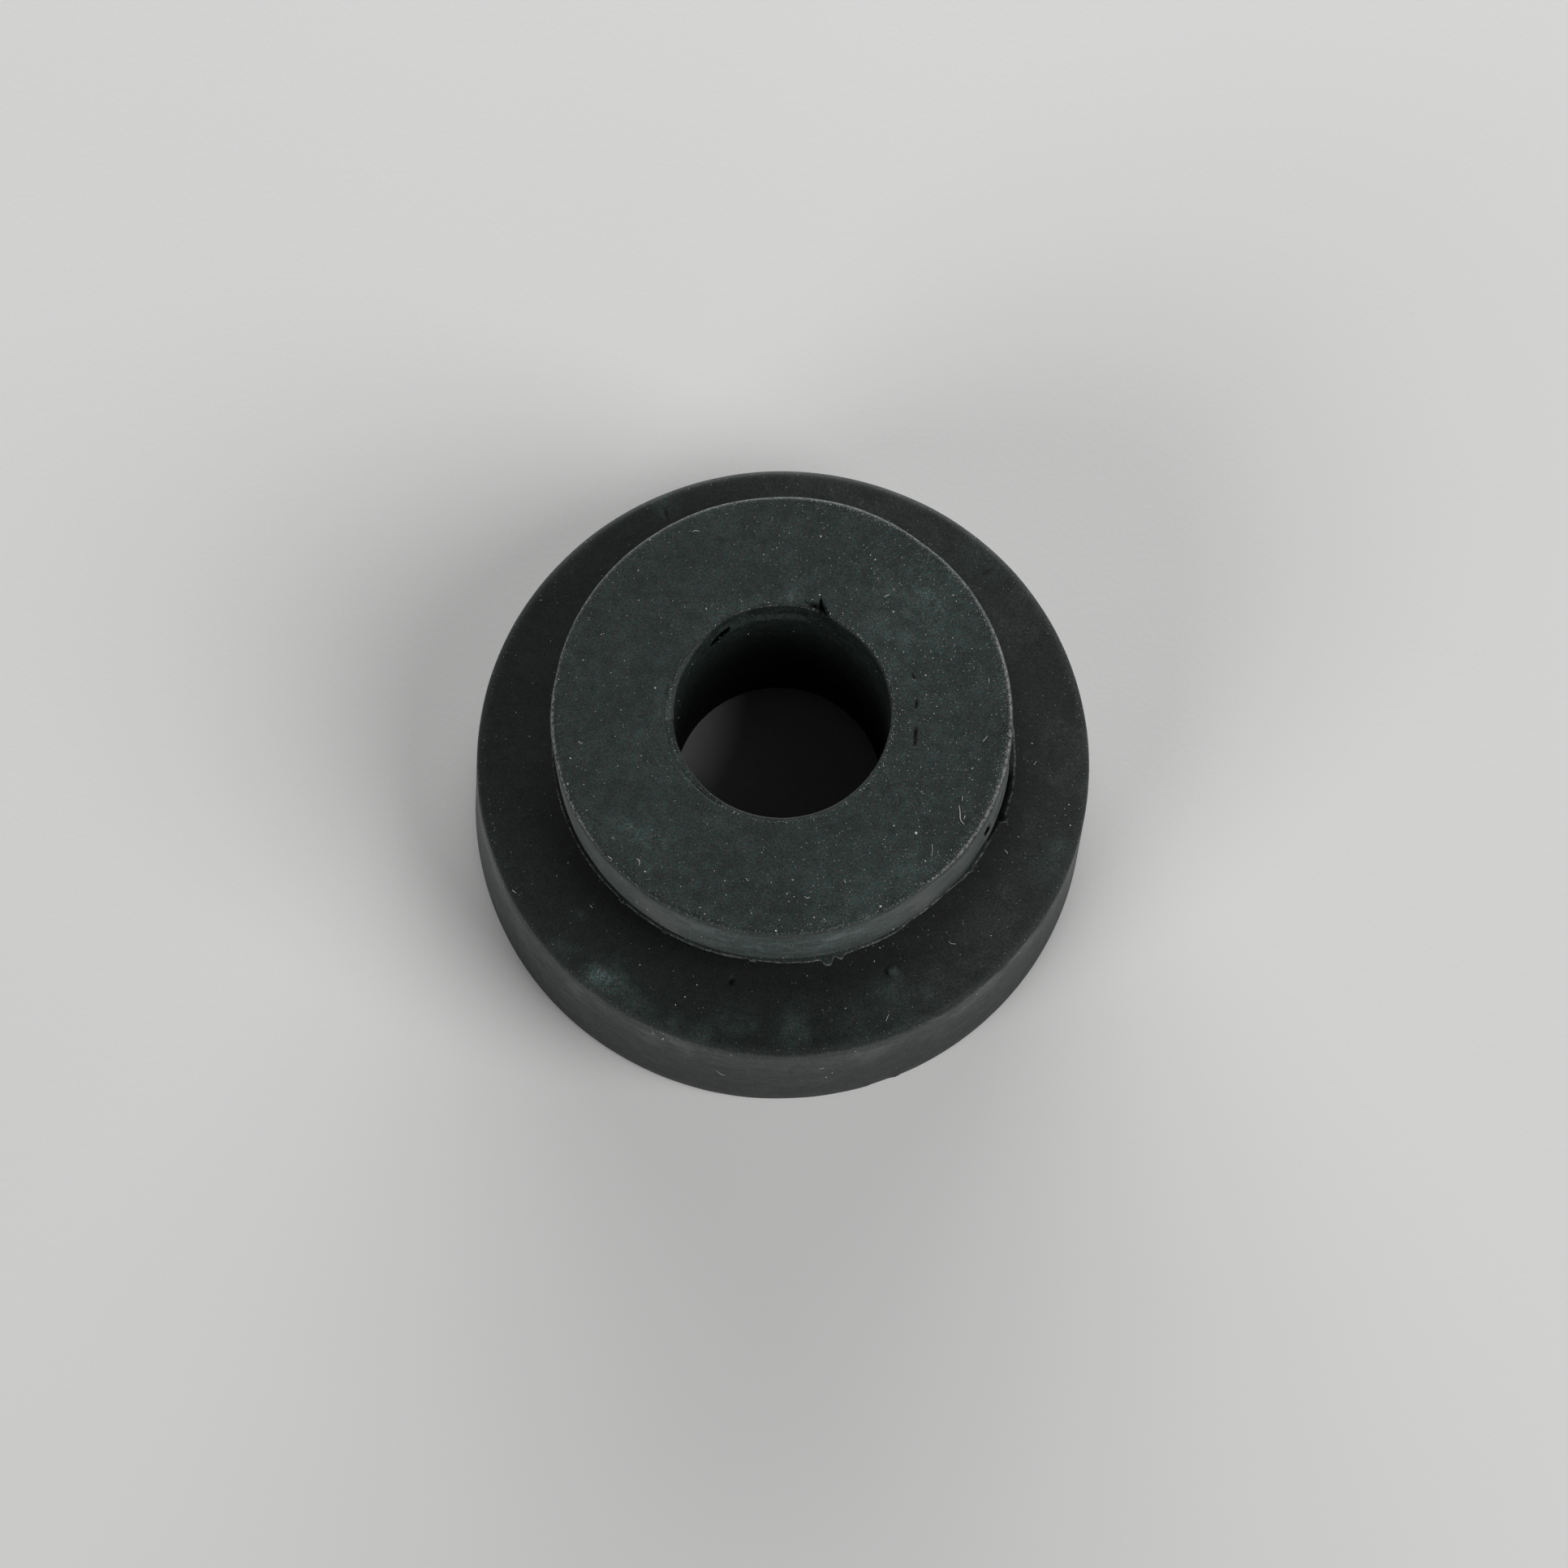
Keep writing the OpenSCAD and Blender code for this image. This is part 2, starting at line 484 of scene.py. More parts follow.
def shape_flange_top(angle, r, z, sizes):
    """Top of the flange: slack, uneven rubber."""
    place = flat(angle, r)
    wave = 0.035 * noise.noise(Vector((place.x / 5, place.y / 5, 4)))
    wave += 0.01 * noise.noise(Vector((place.x / 1.2, place.y / 1.2, 7)))
    return 0.0, wave * rise(sizes.neck_r, sizes.neck_r + 2, r) - mark_depth("flange_top", angle, r, z)


def shape_flange_side(angle, r, z, sizes):
    """Wall of the flange."""
    wave = 0.03 * ripple(angle, 0, 5, seed=41) + 0.015 * ripple(angle, z, 1.6, seed=42)
    return wave - mark_depth("flange_side", angle, r, z), 0.0


def shape_foot_edge(angle, r, z, sizes):
    """Lower edge of the flange, trimmed unevenly at the front."""
    trim = 0.035 * between(258, 300, 8, angle) * ripple(angle, 0, 1.2, seed=43)
    wave = 0.03 * ripple(angle, 0, 5, seed=41) + trim
    return (wave - mark_depth("foot_edge", angle, r, z)) * rise(0, 0.2, z), 0.0


def shape_plain(angle, r, z, sizes):
    """A hidden face that keeps its true form."""
    return 0.0, 0.0


SHAPES = {
    "boss_top": shape_boss_top,
    "lip": shape_lip,
    "bore": shape_bore,
    "boss_rim": shape_boss_rim,
    "boss_side": shape_boss_side,
    "flash": shape_flash,
    "flange_top": shape_flange_top,
    "flange_edge": shape_flange_side,
    "flange_side": shape_flange_side,
    "foot_edge": shape_foot_edge,
}


# ---------------------------------------------------------------- the half-section

Corner = namedtuple(
    "Corner", "r z centre band steps dense bend bend_steps bend_band", defaults=(True, 0, 0, ""),
)
Station = namedtuple("Station", "r z centre band dense")


class Section:
    """The section's sizes in millimetres, worked out from the settings."""

    def __init__(self, settings):
        for name in GrommetSizes.__annotations__:
            if name != "flange_draft":
                setattr(self, name, getattr(settings, name) / MM)
        self.foot_r = self.flange_d / 2
        self.flange_r = self.foot_r - math.tan(settings.flange_draft) * self.flange_h
        self.boss_r = self.boss_d / 2
        self.neck_r = self.neck_d / 2
        self.bore_r = self.bore_d / 2
        self.recess_r = self.recess_d / 2
        self.lip_r = self.bore_r + self.bore_lip_r
        self.flash_root_r = self.boss_r - 0.28
        self.flash_tip_r = self.boss_r + 0.2
        self.torn_z = LEDGE_Z - 0.8

    def wall_r(self, band, z):
        """Radius of a wall at a height."""
        if band in CRACKS:
            return self.bore_r if band == "bore" else self.boss_r
        return self.foot_r - (self.foot_r - self.flange_r) / self.flange_h * z

    def corners(self):
        """Corners of the section, anticlockwise from the mouth of the recess.

        The plain radii only part a flat face into coarser and finer rings.
        """
        deck, gap, top, side = self.flange_h, self.boss_z, self.top_z, self.boss_r
        root, tip, fin = self.flash_root_r, self.flash_tip_r, self.flash_t
        fin_top = gap + fin
        fillet, lip = self.groove_fillet_r, self.bore_lip_r
        return [
            Corner(self.recess_r, 0, AT_BORE_FOOT, "plain", 3, False, self.foot_edge_r, 2, "plain"),
            Corner(self.foot_r, 0, AT_FOOT, "flange_side", 9, True, self.foot_edge_r, 4, "foot_edge"),
            Corner(self.flange_r, deck, AT_FLANGE, "flange_top", 1, True, self.flange_edge_r, 6,
                   "flange_edge"),
            Corner(self.flange_r - 0.75, deck, AT_FLANGE, "flange_top", 5),
            Corner(16.3, deck, AT_FLANGE, "flange_top", 8),
            Corner(15.1, deck, AT_FLANGE, "flange_top", 4),
            Corner(13.6, deck, AT_BOSS, "flange_top", 2, False),
            Corner(self.neck_r, deck, AT_BOSS, "plain", 2, False, fillet, 3, "plain"),
            Corner(self.neck_r, gap, AT_BOSS, "plain", 3, False, fillet, 3, "plain"),
            Corner(root - 0.3, gap, AT_BOSS, "plain", 1),
            Corner(root, gap, AT_BOSS, "flash", 3),
            Corner(tip, gap + 0.3 * fin, AT_BOSS, "flash", 1),
            Corner(tip, gap + 0.75 * fin, AT_BOSS, "flash", 1),
            Corner(tip - 0.08, gap + 0.85 * fin, AT_BOSS, "flash", 3),
            Corner(root, fin_top, AT_BOSS, "plain", 1),
            Corner(side - 0.18, fin_top + 0.06, AT_BOSS, "plain", 1),
            Corner(side - 0.06, fin_top + 0.18, AT_BOSS, "boss_side", 1),
            Corner(side, fin_top + 0.48, AT_BOSS, "boss_side", 8),
            Corner(side, gap + 2.6, AT_BOSS, "boss_side", 5),
            Corner(side, top, AT_BOSS, "boss_top", 4, True, self.boss_edge_r, 8, "boss_rim"),
            Corner(side - 0.75, top, AT_BOSS, "boss_top", 6),
            Corner(8.85, top, AT_BOSS, "boss_top", 6),
            Corner(8.4, top, AT_BOSS, "boss_top", 6),
            Corner(7.85, top, AT_BOSS, "boss_top", 12),
            Corner(self.bore_r, top, AT_BOSS, "bore", 16, True, lip, 4, "lip"),
            Corner(self.bore_r, self.torn_z, AT_BOSS, "bore", 5, False),
            Corner(self.bore_r, self.recess_h, AT_BORE_FOOT, "plain", 2, False, lip, 2, "bore"),
            Corner(self.recess_r, self.recess_h, AT_BORE_FOOT, "plain", 2, False,
                   self.recess_fillet_r, 3, "plain"),
        ]

    def stations(self):
        """Points along the section, with each corner rounded to its own radius."""
        corners = self.corners()
        bends = [
            round_corner(corners[i - 1], corner, corners[(i + 1) % len(corners)])
            for i, corner in enumerate(corners)
        ]
        found = []
        for i, corner in enumerate(corners):
            following = corners[(i + 1) % len(corners)]
            start, end = bends[i][-1], bends[(i + 1) % len(corners)][0]
            band = corner.bend_band or corner.band
            found += [Station(p.x, p.y, corner.centre, band, corner.dense) for p in bends[i]]
            for step in range(1, corner.steps):
                t = step / corner.steps
                place = start.lerp(end, t)
                centre = corner.centre.lerp(following.centre, t)
                found.append(Station(place.x, place.y, centre, corner.band, corner.dense))
        return found


def round_corner(before, corner, after):
    """Points of the arc that rounds a corner, or the corner itself if it is sharp."""
    tip = Vector((corner.r, corner.z))
    if not corner.bend:
        return [tip]
    back = (Vector((before.r, before.z)) - tip).normalized()
    ahead = (Vector((after.r, after.z)) - tip).normalized()
    half = back.angle(ahead) / 2
    reach = corner.bend / math.tan(half)
    centre = tip + (back + ahead).normalized() * (corner.bend / math.sin(half))
    start, end = tip + back * reach - centre, tip + ahead * reach - centre
    swept = start.angle_signed(end)
    return [
        centre + Matrix.Rotation(-swept * i / corner.bend_steps, 2) @ start
        for i in range(corner.bend_steps + 1)
    ]


# ---------------------------------------------------------------- meshes

def mesh_angles():
    """Angles round the mesh, an even number in each band so that every other one can be dropped."""
    found = []
    for start, end, step in ANGLE_BANDS:
        count = 2 * round((end - start) / step / 2)
        found += [start + (end - start) * i / count for i in range(count)]
    return found


def make_object(name, vertices, faces, *materials, smooth=True):
    """A mesh object in the scene, from points in millimetres."""
    mesh = bpy.data.meshes.new(name)
    mesh.from_pydata([Vector(v) * MM for v in vertices], [], faces)
    mesh.validate()
    mesh.update()
    for material in materials:
        mesh.materials.append(material)
    if smooth:
        mesh.shade_smooth()
    made = bpy.data.objects.new(name, mesh)
    bpy.context.scene.collection.objects.link(made)
    return made


def paint(mesh, name, values):
    """Stores one number for each vertex, for the materials to read."""
    mesh.attributes.new(name, "FLOAT", "POINT").data.foreach_set("value", values)


def body_mesh(section):
    """Vertices, faces and the section's band of each vertex, for the whole grommet."""
    angles = mesh_angles()
    vertices, faces, places, rings = [], [], [], []
    for station in section.stations():
        shape = SHAPES.get(station.band, shape_plain)
        ring = []
        for angle in angles if station.dense else angles[::2]:
            dr, dz = shape(angle, station.r, station.z, section)
            place = flat(angle, station.r + dr) + station.centre
            ring.append(len(vertices))
            vertices.append((place.x, place.y, station.z + dz))
            places.append((station.band, angle, station.r + dr, station.z))
        rings.append(ring)
    for lower, upper in zip(rings, rings[1:] + rings[:1]):
        faces += stitch(lower, upper)
    return vertices, faces, places


def stitch(lower, upper):
    """Faces between two rings, where one may have half the vertices of the other."""
    if len(lower) == len(upper):
        count = len(lower)
        return [
            (lower[i - 1], lower[i], upper[i], upper[i - 1]) for i in range(count)
        ]
    flipped = len(lower) < len(upper)
    many, few = (upper, lower) if flipped else (lower, upper)
    faces = []
    for i, near in enumerate(few):
        left, middle = many[2 * i], many[2 * i + 1]
        right, far = many[(2 * i + 2) % len(many)], few[(i + 1) % len(few)]
        faces += [(left, middle, near), (middle, far, near), (middle, right, far)]
    return [face[::-1] for face in faces] if flipped else faces


# ---------------------------------------------------------------- bloom, wear and dust, with painted light and shade

# Hazy patches in millimetres, by height: X, Y, reach and strength. The patch at 11.4 is a painted
# highlight on the lump.
HAZE_AND_HIGHLIGHT_PATCHES = {
    20.5: [
        (9.7, 8.1, 1.6, 0.2), (4.9, -11.9, 2.2, 0.18), (-8.9, -7.7, 1.1, 0.3),
        (-7.5, -9.1, 1.3, 0.25), (8.0, -9.6, 1.2, 0.2), (0.7, 7.75, 0.7, 0.4),
        (8.1, 6.4, 3.2, 0.26), (9.6, -3.4, 2.4, 0.1),
    ],
    11.2: [
        (-11.6, -14.9, 0.8, 0.65), (-10.5, -15.2, 0.9, 0.5), (-9.8, -16.0, 0.7, 0.45),
        (-9.0, -16.8, 0.8, 0.3), (-7.9, -17.5, 0.6, 0.25), (-6.5, -17.9, 0.5, 0.4),
        (-4.6, -18.6, 0.7, 0.3), (-13.4, -13.5, 0.6, 0.25), (-14.2, -12.8, 0.5, 0.2),
        (-2.6, -18.0, 1.2, 0.18), (0.9, -18.6, 0.9, 0.35), (1.4, -17.6, 0.9, 0.3),
        (2.1, -18.8, 0.35, 0.35), (-1.4, -18.0, 0.25, 0.35), (5.2, -18.0, 1.4, 0.25),
        (8.1, -17.3, 1.0, 0.3), (9.7, -15.7, 0.4, 0.4), (7.3, -15.6, 0.9, 0.4),
        (17.4, -7.4, 1.0, 0.25), (18.1, -5.8, 0.7, 0.35), (-12.75, -11.0, 0.35, 0.3),
        (12.7, 14.1, 1.3, 0.22), (14.0, 13.2, 0.6, 0.2), (-8.1, 17.3, 0.8, 0.4),
    ],
    # Painted highlight: a pale spot on the lump on the flange's top, where it catches the light.
    11.4: [(7.5, -14.25, 0.22, 1.6)],
    18.6: [(-4.9, -13.7, 1.2, 0.45), (3.4, -14.1, 1.2, 0.5)],
    17.6: [(-5.9, -13.3, 0.8, 0.35)],
    18.4: [(5.2, -13.6, 1.0, 0.35)],
    17.2: [(7.2, -12.6, 1.2, 0.45)],
}
PATCHES = [
    (Vector((x, y, z)), reach, strength)
    for z, rows in HAZE_AND_HIGHLIGHT_PATCHES.items() for x, y, reach, strength in rows
]


def round_turn(r, z, edge_r, edge_z, bend):
    """How far round an outer rounding a place is: 0 on the wall, 1 on the top."""
    turn = math.atan2(z - (edge_z - bend), r - (edge_r - bend))
    return min(1.0, max(0.0, turn / (math.pi / 2)))


def bared_and_shaded(band, angle, r, z, section):
    """0 in gouges and cracks and 1 elsewhere. Haze and film are left off in these hollows: bare torn
    rubber, which also reads darker there as painted shade.
    """
    if band in CRACKS:
        return 1 - rise(0, 0.02, in_crack(band, angle, z, section.wall_r(band, z))[0])
    return 1 - rise(0.003, 0.02, mark_depth(band, angle, r, z))


def bloom_and_shading_at(band, angle, r, z, place, section):
    """How much haze lies on the rubber: so much on each face, and more in patches. It also carries
    painted shade, with less haze beside the boss, deep down the bore, along the ledge's edge and in the
    notch, and a painted highlight on the lump.
    """
    total = 0.0
    if band in ("boss_top", "boss_rim", "lip"):
        ring = between(85, 215, 15, angle) * math.exp(-((r - 7.7) / 0.5) ** 2)
        torn_edge = between(84, 138, 3, angle) * rise(7.3, 7.1, r)
        total = 0.37 + 0.08 * ring + 0.1 * on_ledge(angle, r) + 0.08 * torn_edge
        # Painted shade: less haze along the ledge's outer edge draws a dark line for the shade of its
        # small step. None in the notch, bare torn rubber that also reads as painted shade in the hollow,
        # and less on the lip's rounding.
        total *= 1 - 0.6 * ledge_outline(angle, r)
        total *= (1 - in_notch(angle, r)) * (1 if band != "lip" else 0.6)
    elif band == "boss_side":
        left = between(215, 280, 15, angle)
        # Thinner towards the boss's foot by the flash, and round the back.
        total = 0.45 + 0.33 * rise(14.8, 17, z) + left * (0.12 + 0.12 * rise(18.6, 15.5, z))
        total *= 1 - 0.35 * between(20, 160, 20, angle)
    elif band == "bore":
        torn = between(76, 112, 2, angle) * rise(LEDGE_Z - 0.1, LEDGE_Z + 0.1, z)
        lining = between(112, 152, 6, angle) * rise(17.0, 19.2, z)
        total = (0.1 * torn + 0.14 * lining) * (1 + 0.9 * ripple(angle, z, 0.5, seed=61))
        # Thicker towards the mouth and on the left wall: painted light where light gets into the bore,
        # fading to painted shade deeper down.
        total += (0.2 + 0.12 * between(140, 230, 20, angle)) * rise(12, 19, z)
    elif band in ("flange_edge", "flange_side"):
        total = 0.13
    elif band == "flange_top":
        # Painted shade: thinner next to the boss, where the boss shades the flange's top.
        total = 0.09 * rise(14.8, 17.3, r)
    elif band == "flash":
        total = 0.3 * between(222, 335, 8, angle)
    for middle, reach, strength in PATCHES:
        near = (Vector(place) - middle).length / reach
        if near < 2.5:
            total += strength * math.exp(-near * near)
    return total


def film_and_shading_at(band, angle, r, z, section):
    """How thick the grey film lies: partly fine dust, partly painted light and shade. It is thicker on
    the right, which faces the key light, higher up the walls and at the flash's outer edge, as painted
    light, and thinner at the walls' feet and beside the boss, as painted shade.
    """
    right = between(0, 70, 50, angle) + between(310, 360, 40, angle)
    # The flash's outer edge: paler, partly dust, partly a painted highlight where the thin edge catches
    # the light.
    if band == "flash":
        return 0.35 * rise(0.15, 0.5, r - section.flash_tip_r)
    # Flange top: thicker on the right, the side facing the key light, as dust and painted light; thinner
    # next to the boss as painted shade.
    if band == "flange_top":
        return (0.01 + 0.18 * right) * (0.4 + 0.6 * rise(15.2, 17.2, r))
    # Flange edge: painted light, thicker on the right and where the rounding turns down to the wall.
    if band == "flange_edge":
        on_top = round_turn(r, z, section.flange_r, section.flange_h, section.flange_edge_r)
        return 0.02 + 0.18 * right + 0.35 * rise(0.6, 0.2, on_top)
    # Flange wall: painted shade towards its foot, painted light up to its top edge and on the right.
    if band == "flange_side":
        right = between(330, 355, 10, angle)
        front = 0.08 * between(268, 288, 8, angle)
        return 0.04 + front + 0.16 * rise(2, 8, z) + (0.4 + 0.15 * right) * rise(6, section.flange_h, z)
    # Boss wall: painted light on the right and front left, the sides facing the lamps, with some dust.
    if band == "boss_side":
        right = 0.75 * between(300, 350, 25, angle) * rise(14.2, 16.5, z)
        return 0.08 + right + 0.78 * between(190, 240, 20, angle)
    if band in ("boss_top", "lip"):
        return 0.3 * on_ledge(angle, r)
    if band == "boss_rim":
        return 0.25 * rise(0.7, 0.2, round_turn(r, z, section.boss_r, section.top_z, section.boss_edge_r))
    return 0.0


def wear_and_highlight_at(band, angle, r, z, section):
    """How scuffed the rubber is, with painted highlights along the boss's rim and the flash's edge."""
    # The flash's edge: partly scuffed, partly a painted highlight where the thin edge catches the light.
    if band == "flash":
        loose = between(279, 360, 4, angle) + between(0, 12, 4, angle)
        around = 0.7 + 0.5 * between(196, 275, 6, angle) + 0.7 * loose
        return around * rise(-0.08, -0.02, r - flash_edge(angle))
    if band == "boss_rim":
        # A pale line along the middle of the rim's rounding, strongest on the right that faces the key
        # light: partly rubbed edge, partly painted highlight.
        turn = round_turn(r, z, section.boss_r, section.top_z, section.boss_edge_r)
        line = math.exp(-((turn - 0.48) / 0.17) ** 2)
        right = between(318, 360, 10, angle) + between(0, 20, 5, angle)
        left = 1.2 * between(178, 212, 10, angle)
        return line * (0.1 + 0.8 * between(20, 195, 25, angle) + left + 2.0 * right)
    if band == "lip":
        torn = between(84, 182, 3, angle)
        return 0.2 * (between(340, 360, 10, angle) + between(0, 15, 10, angle)) + 0.12 * torn
    if band == "bore":
        step = math.exp(-((z - LEDGE_Z - 0.1) / 0.18) ** 2) * between(84, 116, 4, angle)
        return 0.15 * step * rise(-0.1, 0.3, ripple(angle, z, 0.16, seed=51))
    return 0.0


def dust_at(band, angle, r, z, section):
    """How thickly the dust specks lie."""
    right = rise(-8, 12, r * math.cos(math.radians(angle)))
    front_right = between(290, 360, 12, angle) + between(0, 25, 15, angle)
    if band in ("boss_rim", "boss_top"):
        rim = rise(section.boss_r - 0.7, section.boss_r - 0.2, r)
        front_left = between(210, 250, 12, angle)
        lip_line = math.exp(-((r - section.lip_r) / 0.14) ** 2)
        near_lip = between(0, 72, 8, angle) + between(320, 360, 20, angle)
        around = 0.15 + 1.1 * front_right + 0.35 * front_left
        return 0.2 + 0.5 * right + rim * around + lip_line * (0.3 + near_lip)
    if band == "lip":
        return 0.5
    if band == "bore":
        return 0.3 * rise(section.top_z - 4, section.top_z - 1, z)
    if band == "boss_side":
        return 0.45
    if band == "flange_top":
        return 0.1 + 0.15 * right
    if band == "flange_edge":
        return 0.6
    return 0.15 + 0.45 * rise(section.flange_h - 3.5, section.flange_h - 1, z)


# ---------------------------------------------------------------- lint and dust

# Fibres on each face: width, then the places along it. A place is X and Y on a flat face, and an
# angle and a height on a wall
FIBRES = {
    "boss_top": [
        (0.07, (11.27, -5.84), (11.35, -6.3), (11.34, -6.8), (11.62, -7.08)),
        (0.06, (11.58, -6.74), (11.66, -6.5)), (0.045, (11.5, -5.22), (11.45, -5.59)),
        (0.05, (13.03, -1.25), (12.74, -1.65)), (0.04, (9.6, -8.4), (9.64, -8.8), (9.6, -9.2)),
        (0.06, (-8.85, -9.75), (-8.62, -9.85), (-8.68, -10.15)),
        (0.04, (-2.0, -10.85), (-1.8, -11.05)),
        (0.05, (1.68, -11.95), (1.85, -12.1), (2.02, -11.98)),
        (0.04, (-5.95, 12.0), (-5.7, 12.12), (-5.45, 12.06)), (0.05, (6.4, 7.9), (6.75, 8.05)),
        (0.045, (13.1, 2.2), (13.1, 2.6)), (0.04, (-12.75, -2.1), (-12.6, -2.3), (-12.45, -2.2)),
        (0.05, (-10.65, -9.6), (-10.35, -9.8)),
    ],
    "flange_top": [
        (0.06, (14.65, -6.05), (14.85, -6.3)), (0.04, (16.5, -0.3), (16.7, 0.0)),
        (0.045, (11.05, -12.25), (11.25, -12.42), (11.55, -12.4)),
        (0.045, (7.3, -17.1), (7.1, -17.6)), (0.04, (-17.15, -9.4), (-16.85, -9.6)),
        (0.05, (-12.1, -10.3), (-11.9, -10.5)),
    ],
    "boss_side": [
        (0.045, (232.0, 16.7), (232.8, 16.55)), (0.045, (235.4, 16.95), (236.2, 16.85)),
    ],
    "flange_side": [
        (0.11, (248.8, 9.5), (249.1, 9.95)), (0.04, (259.4, 5.9), (260.2, 5.4), (261.0, 5.3)),
        (0.05, (278.3, 7.5), (279.2, 7.7)), (0.05, (246.8, 10.4), (247.4, 9.9)),
    ],
}

# Crumbs on each face: place and size
CRUMBS = {
    "boss_top": [
        (8.6, -7.7, 0.2), (7.2, -7.25, 0.11), (9.2, -9.5, 0.1), (6.45, -12.5, 0.14),
        (9.7, -10.6, 0.11), (9.95, -10.45, 0.08), (9.4, -10.8, 0.07), (12.5, -2.8, 0.08),
        (-8.3, -10.55, 0.09), (0.95, -10.9, 0.09), (-4.8, -12.8, 0.09), (-4.5, -13.2, 0.08),
        (-1.6, -13.1, 0.08), (0.15, -13.5, 0.07), (2.3, -13.3, 0.09), (-0.05, -14.2, 0.13),
        (0.6, -11.8, 0.09), (-0.4, -11.1, 0.07), (-3.3, -11.05, 0.07), (4.2, -10.95, 0.08),
        (-8.0, 1.5, 0.12), (-10.4, -8.4, 0.08), (-13.3, -4.95, 0.11), (-13.2, -3.25, 0.1),
        (-10.2, -3.7, 0.07), (-8.75, -3.0, 0.07), (-8.6, 11.45, 0.09), (-9.3, 9.35, 0.09),
        (-11.5, 5.0, 0.07), (-12.6, 3.25, 0.08), (10.8, 8.1, 0.1), (11.0, 7.7, 0.08),
        (9.1, 2.7, 0.1), (12.1, -3.4, 0.07), (2.3, 11.9, 0.12), (5.8, 10.4, 0.1), (5.5, 10.7, 0.07),
        (-1.3, 10.6, 0.07), (7.0, 6.9, 0.11), (2.3, 7.95, 0.1), (3.0, 6.7, 0.09), (2.8, 6.9, 0.07),
    ],
    "flange_top": [
        (15.55, -5.15, 0.08), (16.4, 1.2, 0.09), (6.3, -13.65, 0.1), (6.65, -12.75, 0.08),
        (13.8, -11.8, 0.08), (18.8, -2.9, 0.09), (-8.75, -14.2, 0.08), (-5.8, -16.25, 0.11),
        (-5.05, -15.45, 0.1), (-6.4, -16.8, 0.09), (2.0, -14.7, 0.09), (4.5, -16.8, 0.09),
        (-14.3, -8.4, 0.07), (-13.6, -7.5, 0.07), (-16.4, 1.0, 0.06), (18.6, -3.6, 0.07),
        (18.9, -4.3, 0.09),
    ],
    "boss_side": [
        (251, 16.8, 0.09), (227.7, 19.6, 0.1), (271.8, 14.9, 0.1), (300.6, 15.0, 0.16),
        (274, 18.0, 0.07), (277, 17.5, 0.06), (259, 17.8, 0.06),
    ],
    "bore": [
        (108.7, 16.5, 0.12), (84.3, 16.2, 0.06), (146, 18.3, 0.1), (150, 17.6, 0.06),
        (163, 16.3, 0.09), (164, 13.0, 0.08), (161, 14.5, 0.06), (30, 18.7, 0.08), (38, 17.9, 0.06),
    ],
    "flange_side": [
        (249, 10.8, 0.08), (280.8, 5.9, 0.1), (279.7, 5.0, 0.13), (293.3, 2.5, 0.08),
        (262, 10.3, 0.09), (285, 10.2, 0.1), (310, 10.1, 0.12), (321, 10.4, 0.1),
    ],
}

# Where loose specks settle: least and most radius or height, how many might, and how much their
# sizes spread
Fall = namedtuple("Fall", "face low high count spread")
DUST_FALLS = [
    Fall("boss_top", 6.95, 14.45, 1800, 0.05),
    Fall("boss_top", 7.05, 7.25, 450, 0.04), Fall("boss_top", 13.8, 14.45, 800, 0.025),
    Fall("boss_top", 14.3, 14.6, 1300, 0.03),
    Fall("flange_top", 14.9, 19.6, 500, 0.04),
    Fall("boss_side", 15.0, 20.1, 250, 0.03),
    Fall("flange_side", 1.5, 10.9, 450, 0.04),
    Fall("flange_side", 9.8, 11.0, 250, 0.03),
    Fall("bore", 12.0, 20.2, 300, 0.04),
]
SMALLEST_SPECK = 0.02


class Surface:
    """Finds places on the finished rubber, in millimetres."""

    def __init__(self, section):
        body = bpy.data.objects.get(BODY_PIECE)
        if body is None:
            raise RuntimeError("build the rubber body before its lint and dust")
        points = [vertex.co / MM for vertex in body.data.vertices]
        self.tree = BVHTree.FromPolygons(points, [face.vertices for face in body.data.polygons])
        self.section = section

    def find(self, face, place):
        """Point and normal of the rubber nearest to a place on one of its faces."""
        if face in FLAT_BANDS:
            height = self.section.top_z if face == "boss_top" else self.section.flange_h
            guess = Vector((*place, height))
        else:
            angle, z = place
            guess = Vector((*flat(angle, self.section.wall_r(face, z)), z))
        point, normal, _, _ = self.tree.find_nearest(guess)
        return point, normal


def add_crumb(vertices, faces, point, normal, size, rng):
    """A small closed lump, half sunk in the rubber."""
    along = normal.orthogonal().normalized()
    along.rotate(Quaternion(normal, rng.uniform(0, math.pi)))
    across = normal.cross(along)
    long_half, half = size * rng.uniform(0.5, 0.8), size * 0.45
    first = len(vertices)
    vertices += [
        point + along * long_half, point + across * half, point - along * long_half,
        point - across * half, point + normal * half * 0.7, point - normal * half * 0.7,
    ]
    for i in range(4):
        ahead = (i + 1) % 4
        faces.append((first + i, first + ahead, first + 4))
        faces.append((first + ahead, first + i, first + 5))


def soften(points):
    """The same line with its corners cut twice."""
    for _ in range(2):
        cut = [points[0]]
        for a, b in zip(points, points[1:]):
            cut += [a.lerp(b, 0.25), a.lerp(b, 0.75)]
        points = cut + [points[-1]]
    return points


